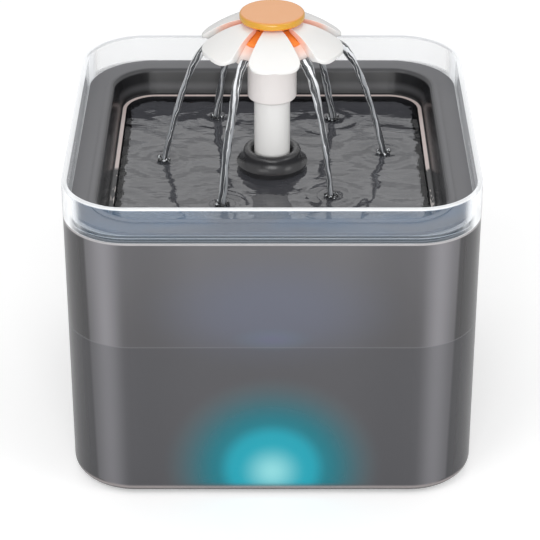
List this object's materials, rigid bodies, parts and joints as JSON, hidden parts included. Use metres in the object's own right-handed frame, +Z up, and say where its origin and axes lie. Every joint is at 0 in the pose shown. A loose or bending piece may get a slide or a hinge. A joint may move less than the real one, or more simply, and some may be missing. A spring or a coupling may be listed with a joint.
{
  "type": "pet water fountain",
  "caption": "Square pet water fountain: smoke-grey tank, clear splash ring, dark drinking tray, white riser with a flower spout, filter basket and pump inside.",
  "frame": {"origin": "on the ground, under the middle of the tank", "axes": "+Z up, -Y towards the front, +X to the right seen from the front"},
  "size_m": [0.18, 0.18, 0.1958],
  "materials": {
    "tank": "translucent smoke-grey plastic, glossy",
    "ring": "clear plastic, glossy",
    "dark": "dark grey, satin",
    "white": "white, glossy",
    "orange": "orange, glossy",
    "rubber": "black silicone",
    "clear_rubber": "translucent silicone",
    "lens": "clear lens",
    "board": "white circuit board",
    "chip": "light chips",
    "basket": "grey, satin",
    "case": "white, matte",
    "carbon": "activated carbon granules",
    "resin": "softening resin beads",
    "fleece": "white filter fleece",
    "pump": "black, satin",
    "steel": "stacked steel sheets",
    "copper": "enamelled copper wire",
    "potting": "cast resin",
    "ceramic": "polished ceramic",
    "magnet": "sintered magnet",
    "wheel": "white, satin",
    "foam": "open foam, black"
  },
  "bodies": {
    "base": {"tank": "tank", "anti_slip_feet": "clear_rubber", "lamp_housing": "pump", "lamp_board": "board", "light_chips": "chip", "lamp_lens": "lens"},
    "ring": {"splash_ring": "ring"},
    "tray": {"tray": "dark", "riser_tube": "white", "riser_seal": "rubber", "riser_collar": "dark"},
    "filter": {"filter_basket": "basket", "filter_case": "case", "carbon_bed": "carbon", "resin_bed": "resin", "filter_fleece": "fleece"},
    "sleeve": {"spout_sleeve": "white"},
    "flower": {"flower_petals": "white", "flower_hub": "orange"},
    "cap": {"flower_cap": "orange"},
    "pump": {"pump_housing": "pump", "stator_core": "steel", "stator_coils": "copper", "motor_resin": "potting", "cord_gland": "rubber", "outlet_nozzle": "pump", "nozzle_oring": "rubber", "impeller_shaft": "ceramic", "shaft_bushes": "rubber", "volute_cover": "pump", "suction_cups": "clear_rubber"},
    "rotor": {"rotor_magnet": "magnet", "impeller": "wheel"},
    "intake": {"intake_cover": "pump", "intake_sponge": "foam"},
    "slider": {"flow_slider": "wheel"}
  },
  "joints": [
    {"name": "top_lift", "type": "slide", "parent": "base", "child": "ring", "axis": [0, 0, 1], "range_m": [0, 0.08]},
    {"name": "tray_lift", "type": "slide", "parent": "ring", "child": "tray", "axis": [0, 0, 1], "range_m": [0, 0.09]},
    {"name": "filter_drop", "type": "slide", "parent": "tray", "child": "filter", "axis": [0, 0, -1], "range_m": [0, 0.02]},
    {"name": "spout_lift", "type": "slide", "parent": "tray", "child": "sleeve", "axis": [0, 0, 1], "range_m": [0, 0.03]},
    {"name": "flower_turn", "type": "hinge", "parent": "sleeve", "child": "flower", "pos_m": [0, 0, 0.178], "axis": [0, 0, 1], "continuous": true},
    {"name": "cap_pull", "type": "slide", "parent": "flower", "child": "cap", "axis": [0, 0, 1], "range_m": [0, 0.02]},
    {"name": "pump_lift", "type": "slide", "parent": "base", "child": "pump", "axis": [0, 0, 1], "range_m": [0, 0.012]},
    {"name": "impeller_spin", "type": "hinge", "parent": "pump", "child": "rotor", "pos_m": [0, 0, 0.0275], "axis": [0, 1, 0], "continuous": true},
    {"name": "cover_pull", "type": "slide", "parent": "pump", "child": "intake", "axis": [0, -1, 0], "range_m": [0, 0.025]},
    {"name": "flow_slide", "type": "slide", "parent": "intake", "child": "slider", "axis": [1, 0, 0], "range_m": [-0.004, 0.004]}
  ]
}
